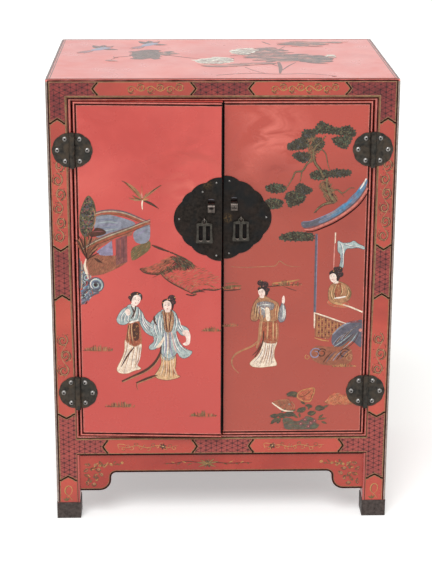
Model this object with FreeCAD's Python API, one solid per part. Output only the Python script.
import FreeCAD, Part
import math
import os

# A two-door side cabinet on four square legs that run from the floor to the top panel.
# Millimetres, +Z up, doors facing -Y. The origin is on the floor at the centre of the
# whole object's box, with the left door standing a few degrees open.

# ---- Case ----
case_width = 560.0  # over the outer faces of the legs
case_depth = 410.0
case_height = 756.0
leg_size = 39.0  # square section
arris_radius = 1.5  # rounded edges of legs, rails and doors
top_thickness = 12.0
top_edge_radius = 2.0
top_rail_height = 20.0
bottom_rail_height = 32.5
bottom_rail_underside = 116.5  # above the floor
side_panel_thickness = 8.0
back_panel_thickness = 6.0
panel_recess = 3.0  # side and back panels, behind the face of the legs
bottom_board_thickness = 12.0
bottom_board_rise = 4.0  # above the bottom rail: the lower stop of the doors
door_stop_width = 12.0
door_stop_drop = 12.0  # below the top rail
shelf_thickness = 12.0
shelf_height = 440.0  # underside, above the floor
shelf_setback = 45.0  # behind the front face
cleat_size = 16.0

# ---- Aprons ----
apron_height = 34.5  # at mid span
apron_thickness = 14.0
apron_recess = 4.0
bracket_length = 62.0  # along the apron, from the leg to the end of the cove
bracket_drop = 33.0  # below the apron's edge
bracket_round = 20.0  # convex corner
bracket_cove = 9.0  # concave corner

# ---- Foot caps ----
cap_height = 29.0
cap_wall = 0.8
cap_floor = 1.0
cap_corner_radius = 1.0

# ---- Doors ----
door_thickness = 18.0
door_gap = 1.8  # between door and frame, all round
meeting_gap = 2.0  # between the two doors
stop_gap = 0.5  # between a closed door and its stops
ajar_angle = 3.0  # how far the left door stands open, degrees

# ---- Hinges ----
hinge_inset = 79.0  # from the door's top or bottom edge to the hinge's centre
leaf_thickness = 1.2
leaf_radius = 27.0  # half disc
leaf_center_offset = 4.5  # disc centre, from the hinge axis
leaf_edge_offset = 4.0  # straight edge, from the hinge axis
leaf_lobes = 5
leaf_lobe_rise = 0.9
barrel_radius = 4.75
barrel_length = 57.0
knuckle_gap = 0.3
hinge_pin_radius = 3.0
hinge_pin_proud = 0.6  # beyond each end of the barrel
nail_circle = 19.3  # nail circle's radius about the leaf's centre
nail_spread = 69.0  # degrees between neighbouring nails
nail_head_radius = 4.2
nail_head_height = 2.8
nail_shank = 1.8  # square
nail_length = 11.0

# ---- Lock plates ----
plate_thickness = 1.2
plate_drop = 191.0  # from the door's top edge to the plate's centre
plate_half_width = 79.0  # to the pointed outer end
plate_half_height = 69.0
plate_lobe_rise = 1.9
plate_notch_angles = (90.0, 66.0, 42.0, 23.0)  # scallop notches of one quarter
plate_notch_ratios = (1.0, 0.955, 0.985, 1.04)  # their distances over the half height
plate_edge_inset = 0.4  # straight edge, behind the door's meeting edge
tack_head_radius = 1.6
tack_head_height = 1.0
tack_shank = 1.3  # square
tack_length = 7.0
tack_inset = 8.5  # end tacks, inside the plate's rim
tack_edge_offset = 10.4  # end tacks, from the middle of the cabinet
extra_tack_across = 32.6  # the left plate's added tack, from the middle of the cabinet
extra_tack_up = 45.5  # and above the plate's centre

# ---- Lock loops: strap staples for a sliding padlock's bar ----
loop_across = 18.4  # from the middle of the cabinet
loop_up = 18.7  # above the plate's centre
loop_width = 11.0
loop_height = 13.6
loop_projection = 8.0
loop_strap = 1.6
loop_corner = 3.5
hasp_slot_width = 10.6  # through the plate, above each loop
hasp_slot_height = 5.4
hasp_slot_gap = 0.6  # metal between the loop and the slot
hasp_slot_depth = 7.0  # in the door

# ---- Pulls and the square-wire eyes that carry them ----
pull_across = 29.5  # from the middle of the cabinet
eye_radius = 3.2  # centre line of the wire ring
eye_wire = 1.4  # square
eye_shank = 2.2  # square
eye_shank_length = 11.0  # in the door
eye_play = 0.15  # between the wire and the pull's hole
pull_thickness = 2.5
pull_tab_rim = 3.0  # metal round the hole
pull_shoulder_drop = 6.0  # below the eye's centre
pull_length = 38.5  # eye centre to lower edge
pull_top_width = 25.6
pull_waist_width = 24.8
pull_foot_width = 27.4
pull_foot_height = 5.0
pull_corner = 1.8
slot_width = 6.6
slot_length = 25.0
slot_spacing = 11.8  # between the two slots' centre lines
slot_foot = 3.8  # metal left below the slots

# ---- Fits ----
shank_clearance = 0.05  # nails, tacks and eye shanks, on each side in their holes
pin_clearance = 0.06  # hinge pins in their knuckles, radial

# ---- Worked out from the sizes above ----
leg_reach = case_width / 2
leg_inner = leg_reach - leg_size
rail_thickness = door_thickness + stop_gap
opening_bottom = bottom_rail_underside + bottom_rail_height
opening_top = case_height - top_thickness - top_rail_height
frame_top = case_height - top_thickness
hinge_x = leg_inner - door_gap / 2
door_edge_outer = leg_inner - door_gap
door_edge_inner = meeting_gap / 2
door_bottom = opening_bottom + door_gap
door_top = opening_top - door_gap
plate_z = door_top - plate_drop
loop_reach = plate_thickness + loop_projection
front_reach = (hinge_x - loop_across) * math.sin(math.radians(ajar_angle)) + loop_reach
front_y = (front_reach - case_depth - cap_wall) / 2
back_y = front_y + case_depth
hinge_y = front_y - barrel_radius
plate_front = front_y - plate_thickness
eye_y = plate_front - eye_radius - eye_wire / 2
# the wire curves inside the hole, so its inner side stands higher at the pull's faces
wire_rise = eye_radius - math.sqrt((eye_radius - eye_wire / 2) ** 2 - (pull_thickness / 2) ** 2)
pull_hole_radius = math.hypot(eye_wire / 2, wire_rise) + eye_play
pull_tab_radius = pull_hole_radius + pull_tab_rim

LEFT = -1
RIGHT = 1
FRONT = -1
REAR = 1
SIDE_NAMES = {LEFT: "left", RIGHT: "right"}
END_NAMES = {FRONT: "front", REAR: "rear"}
OVERRUN = 1.0  # how far a cutting shape passes beyond what it cuts
DOWN = FreeCAD.Vector(0, 0, -1)
UP = FreeCAD.Vector(0, 0, 1)


# ---- Shape helpers ----
def point(x, y, z):
    return FreeCAD.Vector(x, y, z)


def block(x_range, y_range, z_range):
    """A box between the given ends, whichever way round they come."""
    low = [min(r) for r in (x_range, y_range, z_range)]
    high = [max(r) for r in (x_range, y_range, z_range)]
    size = [b - a for a, b in zip(low, high)]
    return Part.makeBox(*size, point(*low))


def arc(start, middle, end):
    return Part.Arc(start, middle, end).toShape()


def line(start, end):
    return Part.makeLine(start, end)


def plate_from(edges, thickness):
    """A flat plate from a closed outline in an XZ plane, thickened towards -Y."""
    wire = Part.Wire(Part.__sortEdges__(edges))
    return Part.Face(wire).extrude(point(0, -thickness, 0))


def disc_rod(center, radius, length, direction):
    return Part.makeCylinder(radius, length, center, direction)


def round_edges(shape, radius, is_chosen):
    """Fillets the straight edges for which is_chosen(middle, direction) is true."""
    chosen = []
    for edge in shape.Edges:
        ends = [v.Point for v in edge.Vertexes]
        if len(ends) == 2 and is_chosen((ends[0] + ends[1]) / 2, ends[1] - ends[0]):
            chosen.append(edge)
    return shape.makeFillet(radius, chosen)


def near(a, b):
    return abs(a - b) < 1e-6


def arris_cutter(corner_x, corner_y, to_x, to_y, z_range):
    """Removes a vertical sharp edge down to a quarter round.

    The material lies from the corner towards (to_x, to_y).
    """
    r = arris_radius
    bulge = r * (1 - math.sqrt(0.5))
    z = min(z_range)
    on_x = point(corner_x + to_x * r, corner_y, z)
    on_y = point(corner_x, corner_y + to_y * r, z)
    middle = point(corner_x + to_x * bulge, corner_y + to_y * bulge, z)
    past_x = on_x - point(0, to_y * OVERRUN, 0)
    past_y = on_y - point(to_x * OVERRUN, 0, 0)
    outside = point(corner_x - to_x * OVERRUN, corner_y - to_y * OVERRUN, z)
    edges = [
        line(past_x, on_x),
        arc(on_x, middle, on_y),
        line(on_y, past_y),
        line(past_y, outside),
        line(outside, past_x),
    ]
    return Part.Face(Part.Wire(edges)).extrude(UP * (max(z_range) - z))


# ---- Case pieces ----
def leg_square(across, along):
    """X and Y ranges of the leg on side `across` and end `along`."""
    x_range = (across * leg_inner, across * leg_reach)
    if along == FRONT:
        return x_range, (front_y, front_y + leg_size)
    return x_range, (back_y - leg_size, back_y)


def leg(across, along):
    """A square leg, rounded where no cap, rail or panel meets its edges."""
    x_range, y_range = leg_square(across, along)
    outer_x = across * leg_reach
    inner_x = across * leg_inner
    outer_y = front_y if along == FRONT else back_y
    inner_y = outer_y - along * leg_size
    below_rails = (cap_height, bottom_rail_underside)
    between_rails = (opening_bottom, opening_top)
    body = block(x_range, y_range, (cap_floor, frame_top))
    rounds = [
        arris_cutter(outer_x, outer_y, -across, -along, (cap_height, frame_top)),
        arris_cutter(inner_x, inner_y, across, along, below_rails),
    ]
    for z_range in (below_rails, between_rails):
        rounds.append(arris_cutter(inner_x, outer_y, across, -along, z_range))
        rounds.append(arris_cutter(outer_x, inner_y, -across, along, z_range))
    for cutter in rounds:
        body = body.cut(cutter)
    if along == FRONT:
        for hinge_z in hinge_heights():
            for nail in leaf_nails(across, across, hinge_z):
                body = body.cut(nail_hole(nail))
    return body


def foot_cap(across, along):
    """A thin metal cup round the foot of a leg, with a flat floor."""
    x_range, y_range = leg_square(across, along)
    x_outer = (min(x_range) - cap_wall, max(x_range) + cap_wall)
    y_outer = (min(y_range) - cap_wall, max(y_range) + cap_wall)
    cup = block(x_outer, y_outer, (0, cap_height))
    cup = round_edges(cup, cap_corner_radius, lambda middle, way: near(way.x, way.y))
    return cup.cut(block(x_range, y_range, (cap_floor, cap_height + OVERRUN)))


def rail(x_range, y_range, z_range, face_normal, panel_edge_z):
    """A rail with a rounded outer edge along the opening or panel at panel_edge_z."""

    def is_outer_edge(middle, way):
        faces = {
            "-y": near(middle.y, min(y_range)),
            "+y": near(middle.y, max(y_range)),
            "-x": near(middle.x, min(x_range)),
            "+x": near(middle.x, max(x_range)),
        }
        return near(way.z, 0) and near(middle.z, panel_edge_z) and faces[face_normal]

    return round_edges(block(x_range, y_range, z_range), arris_radius, is_outer_edge)


def build_rails():
    heights = {
        "top": ((opening_top, frame_top), opening_top),
        "bottom": ((bottom_rail_underside, opening_bottom), opening_bottom),
    }
    between_legs_x = (-leg_inner, leg_inner)
    between_legs_y = (front_y + leg_size, back_y - leg_size)
    walls = {
        "front": (between_legs_x, (front_y, front_y + rail_thickness), "-y"),
        "rear": (between_legs_x, (back_y - rail_thickness, back_y), "+y"),
        "left": ((-leg_reach, rail_thickness - leg_reach), between_legs_y, "-x"),
        "right": ((leg_reach - rail_thickness, leg_reach), between_legs_y, "+x"),
    }
    rails = {}
    for wall, (x_range, y_range, normal) in walls.items():
        for level, (z_range, edge_z) in heights.items():
            rails[f"{wall}_{level}_rail"] = rail(x_range, y_range, z_range, normal, edge_z)
    return rails


def top_panel():
    """The top board, rounded round its upper edge and down its corners."""
    panel = block((-leg_reach, leg_reach), (front_y, back_y), (frame_top, case_height))
    panel = round_edges(panel, top_edge_radius, lambda middle, way: near(middle.z, case_height))
    for across in (LEFT, RIGHT):
        for along, corner_y in ((FRONT, front_y), (REAR, back_y)):
            z_range = (frame_top, case_height + OVERRUN)
            corner = arris_cutter(across * leg_reach, corner_y, -across, -along, z_range)
            panel = panel.cut(corner)
    return panel


def without_legs(board):
    """Notches a board where the legs stand in its corners."""
    z_range = (board.BoundBox.ZMin - OVERRUN, board.BoundBox.ZMax + OVERRUN)
    for across in (LEFT, RIGHT):
        for along in (FRONT, REAR):
            x_range, y_range = leg_square(across, along)
            board = board.cut(block(x_range, y_range, z_range))
    return board


def bottom_board():
    half_width = leg_reach - rail_thickness
    y_range = (front_y + rail_thickness, back_y - rail_thickness)
    top = opening_bottom + bottom_board_rise
    board = block((-half_width, half_width), y_range, (top - bottom_board_thickness, top))
    return without_legs(board)


def side_panel(across):
    outer = leg_reach - panel_recess
    x_range = (across * (outer - side_panel_thickness), across * outer)
    y_range = (front_y + leg_size, back_y - leg_size)
    return block(x_range, y_range, (opening_bottom, opening_top))


def back_panel():
    outer = back_y - panel_recess
    y_range = (outer - back_panel_thickness, outer)
    return block((-leg_inner, leg_inner), y_range, (opening_bottom, opening_top))


def shelf():
    half_width = leg_reach - panel_recess - side_panel_thickness
    back = back_y - panel_recess - back_panel_thickness
    z_range = (shelf_height, shelf_height + shelf_thickness)
    board = block((-half_width, half_width), (front_y + shelf_setback, back), z_range)
    return without_legs(board)


def shelf_cleat(across):
    outer = leg_reach - panel_recess - side_panel_thickness
    x_range = (across * (outer - cleat_size), across * outer)
    y_range = (front_y + shelf_setback, back_y - leg_size)
    return block(x_range, y_range, (shelf_height - cleat_size, shelf_height))


def door_stop():
    """The batten behind the top rail that the closed doors meet."""
    y_range = (front_y + rail_thickness, front_y + rail_thickness + door_stop_width)
    return block((-leg_inner, leg_inner), y_range, (opening_top - door_stop_drop, frame_top))


def apron_board(span):
    """An apron centred on X = 0, its face in the plane Y = 0, with a bracket at each end."""
    top = bottom_rail_underside
    edge = top - apron_height
    foot = edge - bracket_drop
    edges = [line(point(-span / 2, 0, top), point(span / 2, 0, top))]
    cove_tops = {}
    for across in (LEFT, RIGHT):
        end_x = across * span / 2
        cove_end = end_x - across * bracket_length
        throat = cove_end + across * bracket_cove
        flat_end = throat + across * bracket_round
        cove_bulge = bracket_cove * (1 - math.sqrt(0.5))
        round_bulge = bracket_round * (1 - math.sqrt(0.5))
        end_top = point(end_x, 0, top)
        end_foot = point(end_x, 0, foot)
        flat = point(flat_end, 0, foot)
        round_middle = point(throat + across * round_bulge, 0, foot + round_bulge)
        round_top = point(throat, 0, foot + bracket_round)
        cove_foot = point(throat, 0, edge - bracket_cove)
        cove_middle = point(throat - across * cove_bulge, 0, edge - cove_bulge)
        cove_tops[across] = point(cove_end, 0, edge)
        edges += [
            line(end_top, end_foot),
            line(end_foot, flat),
            arc(flat, round_middle, round_top),
            line(round_top, cove_foot),
            arc(cove_foot, cove_middle, cove_tops[across]),
        ]
    edges.append(line(cove_tops[LEFT], cove_tops[RIGHT]))
    return plate_from(edges, apron_thickness)


def front_apron():
    board = apron_board(2 * leg_inner)
    board.translate(point(0, front_y + apron_recess + apron_thickness, 0))
    return board


def side_apron(across):
    board = apron_board(case_depth - 2 * leg_size)
    board.rotate(point(0, 0, 0), UP, across * 90)
    inner_x = across * (leg_reach - apron_recess - apron_thickness)
    board.translate(point(inner_x, (front_y + back_y) / 2, 0))
    return board


# ---- Nails and tacks ----
HEAD_SIDES = 10
HEAD_RINGS = ((1.0, 0.0), (0.78, 0.55), (0.38, 1.0))  # shares of a head's radius and height


def square_rod(position, size, length):
    """A square rod along +Y from `position`."""
    half = size / 2
    x_range = (position.x - half, position.x + half)
    z_range = (position.z - half, position.z + half)
    return block(x_range, (position.y, position.y + length), z_range)


def head_ring(seat, radius, rise):
    """One of the many-sided rings that a filed, domed head is built on."""
    corners = []
    for k in range(HEAD_SIDES):
        angle = 2 * math.pi * k / HEAD_SIDES
        corners.append(seat + point(radius * math.cos(angle), -rise, radius * math.sin(angle)))
    return Part.makePolygon(corners + corners[:1])


def nail(seat, head_radius, head_height, shank, length):
    """A cut nail along +Y, the underside of its domed head at `seat`."""
    rings = [head_ring(seat, r * head_radius, h * head_height) for r, h in HEAD_RINGS]
    head = Part.makeLoft(rings, True, True)
    return head.fuse(square_rod(seat, shank, length))


def shank_hole(position, shank, length):
    """The square hole for a shank along +Y that starts in the plane of `position`."""
    start = position - point(0, OVERRUN, 0)
    return square_rod(start, shank + 2 * shank_clearance, length + 2 * OVERRUN)


# ---- Hinges ----
def hinge_heights():
    return (door_bottom + hinge_inset, door_top - hinge_inset)


def leaf_nails(side, towards, hinge_z):
    """Seats of a leaf's three nails. The leaf lies from the axis towards +X or -X."""
    center_x = side * hinge_x + towards * leaf_center_offset
    seats = []
    for step in (-1, 0, 1):
        angle = math.radians(step * nail_spread)
        x = center_x + towards * nail_circle * math.cos(angle)
        z = hinge_z + nail_circle * math.sin(angle)
        seats.append(point(x, front_y - leaf_thickness, z))
    return seats


def hinge_nail(seat):
    return nail(seat, nail_head_radius, nail_head_height, nail_shank, nail_length)


def nail_hole(seat):
    return shank_hole(seat, nail_shank, nail_length)


def lobed_leaf(side, towards, hinge_z):
    """The flat half disc of a hinge leaf, with a scalloped rim."""
    axis_x = side * hinge_x
    center_x = axis_x + towards * leaf_center_offset
    edge_x = axis_x + towards * leaf_edge_offset

    def rim(angle, radius):
        x = center_x + towards * radius * math.cos(angle)
        return point(x, front_y, hinge_z + radius * math.sin(angle))

    step = math.pi / leaf_lobes
    edges = []
    for k in range(leaf_lobes):
        start = -math.pi / 2 + k * step
        bulge = rim(start + step / 2, leaf_radius + leaf_lobe_rise)
        edges.append(arc(rim(start, leaf_radius), bulge, rim(start + step, leaf_radius)))
    low = rim(-math.pi / 2, leaf_radius)
    high = rim(math.pi / 2, leaf_radius)
    low_edge = point(edge_x, front_y, low.z)
    high_edge = point(edge_x, front_y, high.z)
    edges += [line(low, low_edge), line(low_edge, high_edge), line(high_edge, high)]
    plate = plate_from(edges, leaf_thickness)
    for seat in leaf_nails(side, towards, hinge_z):
        plate = plate.cut(nail_hole(seat))
    return plate


def knuckle(side, towards, z_range):
    """A rolled knuckle with the tongue that joins it to its leaf."""
    low, high = z_range
    center = point(side * hinge_x, hinge_y, low)
    roll = disc_rod(center, barrel_radius, high - low, UP)
    reach = side * hinge_x + towards * (leaf_edge_offset + OVERRUN)
    tongue = block((side * hinge_x, reach), (front_y - leaf_thickness, front_y), z_range)
    bore_radius = hinge_pin_radius + pin_clearance
    bore = disc_rod(center - UP * OVERRUN, bore_radius, high - low + 2 * OVERRUN, UP)
    return roll.fuse(tongue).cut(bore)


def hinge_leaf(side, towards, hinge_z):
    """A leaf with its knuckles: the frame's has the outer two, the door's the middle."""
    length = (barrel_length - 2 * knuckle_gap) / 3
    foot = hinge_z - barrel_length / 2
    ranges = []
    for k in range(3):
        start = foot + k * (length + knuckle_gap)
        ranges.append((start, start + length))
    on_frame = towards == side
    kept = (ranges[0], ranges[2]) if on_frame else (ranges[1],)
    leaf = lobed_leaf(side, towards, hinge_z)
    for z_range in kept:
        leaf = leaf.fuse(knuckle(side, towards, z_range))
    return leaf.removeSplitter()


def hinge_pin(side, hinge_z):
    foot = hinge_z - barrel_length / 2 - hinge_pin_proud
    length = barrel_length + 2 * hinge_pin_proud
    return disc_rod(point(side * hinge_x, hinge_y, foot), hinge_pin_radius, length, UP)


# ---- Lock plates, loops and pulls ----
def tack_seats(side):
    """Where the small tacks hold a lock plate to its door."""
    end_drop = plate_half_height - tack_inset
    seats = [
        point(side * tack_edge_offset, plate_front, plate_z + end_drop),
        point(side * tack_edge_offset, plate_front, plate_z - end_drop),
        point(side * (plate_half_width - tack_inset), plate_front, plate_z),
    ]
    if side == LEFT:
        seats.append(point(side * extra_tack_across, plate_front, plate_z + extra_tack_up))
    return seats


def tack(seat):
    return nail(seat, tack_head_radius, tack_head_height, tack_shank, tack_length)


def tack_hole(seat):
    return shank_hole(seat, tack_shank, tack_length)


def eye_center(side):
    return point(side * pull_across, eye_y, plate_z)


def eye_hole(side):
    start = point(side * pull_across, plate_front, plate_z)
    return shank_hole(start, eye_shank, plate_thickness + eye_shank_length)


def hasp_slot(side):
    """The slot above a lock loop, through the plate and into the door."""
    foot = plate_z + loop_up + loop_height / 2 + hasp_slot_gap
    x_range = (side * loop_across - hasp_slot_width / 2, side * loop_across + hasp_slot_width / 2)
    y_range = (plate_front - OVERRUN, front_y + hasp_slot_depth)
    return block(x_range, y_range, (foot, foot + hasp_slot_height))


def lock_plate(side):
    """Half of a round scalloped plate with a pointed outer end."""
    straight_x = side * (door_edge_inner + plate_edge_inset)

    def rim(degrees, radius):
        angle = math.radians(degrees)
        x = side * radius * math.cos(angle)
        return point(x, front_y, plate_z + radius * math.sin(angle))

    edges = []
    for sign in (1, -1):
        angles = [sign * angle for angle in plate_notch_angles]
        radii = [ratio * plate_half_height for ratio in plate_notch_ratios]
        notches = list(zip(angles, radii))
        notches.append((0.0, plate_half_width))
        for (start, start_radius), (end, end_radius) in zip(notches, notches[1:]):
            middle_radius = (start_radius + end_radius) / 2 + plate_lobe_rise
            bulge = rim((start + end) / 2, middle_radius)
            edges.append(arc(rim(start, start_radius), bulge, rim(end, end_radius)))
    high = rim(90, plate_half_height)
    low = rim(-90, plate_half_height)
    edges.append(line(high, low))
    plate = plate_from(edges, plate_thickness)
    past = block(
        (-side * OVERRUN, straight_x),
        (plate_front - OVERRUN, front_y + OVERRUN),
        (low.z - plate_lobe_rise, high.z + plate_lobe_rise),
    )
    plate = plate.cut(past)
    for seat in tack_seats(side):
        plate = plate.cut(tack_hole(seat))
    return plate.cut(eye_hole(side)).cut(hasp_slot(side))


def lock_loop(side):
    """A bent strap that stands on the plate, open from side to side."""
    z_range = (plate_z + loop_up - loop_height / 2, plate_z + loop_up + loop_height / 2)
    x_range = (side * loop_across - loop_width / 2, side * loop_across + loop_width / 2)
    outer = block(x_range, (plate_front, plate_front - loop_projection), z_range)
    inner = block(
        (x_range[0] - OVERRUN, x_range[1] + OVERRUN),
        (plate_front + OVERRUN, plate_front - loop_projection + loop_strap),
        (z_range[0] + loop_strap, z_range[1] - loop_strap),
    )

    def is_front_corner(middle, way):
        return near(way.y, 0) and near(way.z, 0) and middle.y < plate_front - OVERRUN

    outer = round_edges(outer, loop_corner, is_front_corner)
    inner = round_edges(inner, loop_corner - loop_strap, is_front_corner)
    return outer.cut(inner)


def pull_eye(side):
    """A ring of square wire that stands edge-on to the plate, with a shank into the door."""
    center = eye_center(side)
    start = center - point(eye_wire / 2, 0, 0)
    inner_radius = eye_radius - eye_wire / 2
    rim = disc_rod(start, eye_radius + eye_wire / 2, eye_wire, point(1, 0, 0))
    neck = center + point(0, eye_radius, 0)
    length = eye_wire / 2 + plate_thickness + eye_shank_length
    body = rim.fuse(square_rod(neck, eye_shank, length))
    bore_start = center - point(eye_shank, 0, 0)
    return body.cut(disc_rod(bore_start, inner_radius, 2 * eye_shank, point(1, 0, 0)))


def pull_slot(center_x, y, top, foot):
    """A tall slot, square above and round below."""
    half = slot_width / 2
    spring = foot + half
    high_left = point(center_x - half, y, top)
    high_right = point(center_x + half, y, top)
    low_left = point(center_x - half, y, spring)
    low_right = point(center_x + half, y, spring)
    edges = [
        line(high_left, high_right),
        line(high_right, low_right),
        arc(low_right, point(center_x, y, foot), low_left),
        line(low_left, high_left),
    ]
    return plate_from(edges, pull_thickness + 2 * OVERRUN)


def pull(side):
    """A pierced drop pull, hanging with its tab through the eye's ring."""
    center = eye_center(side)
    face_y = center.y + pull_thickness / 2
    hole_z = center.z - eye_radius
    shoulder_z = center.z - pull_shoulder_drop
    foot_z = center.z - pull_length
    flare_z = foot_z + pull_foot_height
    waist_z = (shoulder_z + flare_z) / 2
    half_top = pull_top_width / 2
    half_foot = pull_foot_width / 2
    tab_drop = hole_z - shoulder_z
    tab_foot = math.sqrt(max(0.0, pull_tab_radius**2 - (tab_drop / 2) ** 2))
    edges = []
    for across in (LEFT, RIGHT):
        tab_edge = point(center.x + across * tab_foot, face_y, hole_z - tab_drop / 2)
        shoulder = point(center.x + across * half_top, face_y, shoulder_z)
        waist = point(center.x + across * pull_waist_width / 2, face_y, waist_z)
        flare = point(center.x + across * half_foot, face_y, flare_z)
        corner = point(center.x + across * half_foot, face_y, foot_z)
        edges += [
            line(tab_edge, shoulder),
            arc(shoulder, waist, flare),
            line(flare, corner),
            line(corner, point(center.x, face_y, foot_z)),
            arc(
                tab_edge,
                point(center.x + across * pull_tab_radius, face_y, hole_z),
                point(center.x, face_y, hole_z + pull_tab_radius),
            ),
        ]
    body = plate_from(edges, pull_thickness)

    def is_corner(middle, way):
        across = abs(middle.x - center.x)
        low = near(middle.z, foot_z) and near(across, half_foot)
        high = near(middle.z, shoulder_z) and near(across, half_top)
        return near(way.x, 0) and near(way.z, 0) and (low or high)

    body = round_edges(body, pull_corner, is_corner)
    hole_start = point(center.x, face_y + OVERRUN, hole_z)
    hole_length = pull_thickness + 2 * OVERRUN
    body = body.cut(disc_rod(hole_start, pull_hole_radius, hole_length, point(0, -1, 0)))
    slot_z = foot_z + slot_foot
    for across in (LEFT, RIGHT):
        slot_x = center.x + across * slot_spacing / 2
        body = body.cut(pull_slot(slot_x, face_y + OVERRUN, slot_z + slot_length, slot_z))
    return body


# ---- Doors ----
def door(side):
    x_range = (side * door_edge_inner, side * door_edge_outer)
    y_range = (front_y, front_y + door_thickness)
    slab = block(x_range, y_range, (door_bottom, door_top))

    def is_face_edge(middle, way):
        return near(middle.y, front_y) and near(way.y, 0)

    slab = round_edges(slab, arris_radius, is_face_edge)
    for hinge_z in hinge_heights():
        for seat in leaf_nails(side, -side, hinge_z):
            slab = slab.cut(nail_hole(seat))
    for seat in tack_seats(side):
        slab = slab.cut(tack_hole(seat))
    return slab.cut(eye_hole(side)).cut(hasp_slot(side))


def door_pieces(side):
    """Every piece that swings with a door, in the closed position."""
    name = SIDE_NAMES[side]
    lower, upper = hinge_heights()
    seats = leaf_nails(side, -side, lower) + leaf_nails(side, -side, upper)
    return {
        f"{name}_door": door(side),
        f"{name}_upper_hinge_door_leaf": hinge_leaf(side, -side, upper),
        f"{name}_lower_hinge_door_leaf": hinge_leaf(side, -side, lower),
        f"{name}_door_nails": Part.makeCompound([hinge_nail(s) for s in seats]),
        f"{name}_lock_plate": lock_plate(side),
        f"{name}_plate_tacks": Part.makeCompound([tack(s) for s in tack_seats(side)]),
        f"{name}_lock_loop": lock_loop(side),
        f"{name}_pull_eye": pull_eye(side),
        f"{name}_pull": pull(side),
    }


def case_pieces():
    pieces = {}
    for across in (LEFT, RIGHT):
        for along in (FRONT, REAR):
            name = f"{END_NAMES[along]}_{SIDE_NAMES[across]}"
            pieces[f"{name}_leg"] = leg(across, along)
            pieces[f"{name}_foot_cap"] = foot_cap(across, along)
    pieces.update(build_rails())
    pieces["top_panel"] = top_panel()
    pieces["bottom_board"] = bottom_board()
    pieces["back_panel"] = back_panel()
    pieces["shelf"] = shelf()
    pieces["door_stop"] = door_stop()
    pieces["front_apron"] = front_apron()
    frame_nails = []
    for side in (LEFT, RIGHT):
        name = SIDE_NAMES[side]
        pieces[f"{name}_side_panel"] = side_panel(side)
        pieces[f"{name}_shelf_cleat"] = shelf_cleat(side)
        pieces[f"{name}_apron"] = side_apron(side)
        for level, hinge_z in zip(("lower", "upper"), hinge_heights()):
            pieces[f"{name}_{level}_hinge_frame_leaf"] = hinge_leaf(side, side, hinge_z)
            pieces[f"{name}_{level}_hinge_pin"] = hinge_pin(side, hinge_z)
            frame_nails += [hinge_nail(s) for s in leaf_nails(side, side, hinge_z)]
    pieces["frame_nails"] = Part.makeCompound(frame_nails)
    return pieces


def build():
    pieces = case_pieces()
    left_axis = point(-hinge_x, hinge_y, 0)
    for name, shape in door_pieces(LEFT).items():
        shape.rotate(left_axis, DOWN, ajar_angle)
        pieces[name] = shape
    pieces.update(door_pieces(RIGHT))
    return pieces


os.makedirs("parts", exist_ok=True)
for node, solid in build().items():
    solid.exportStep(f"parts/{node}.step")
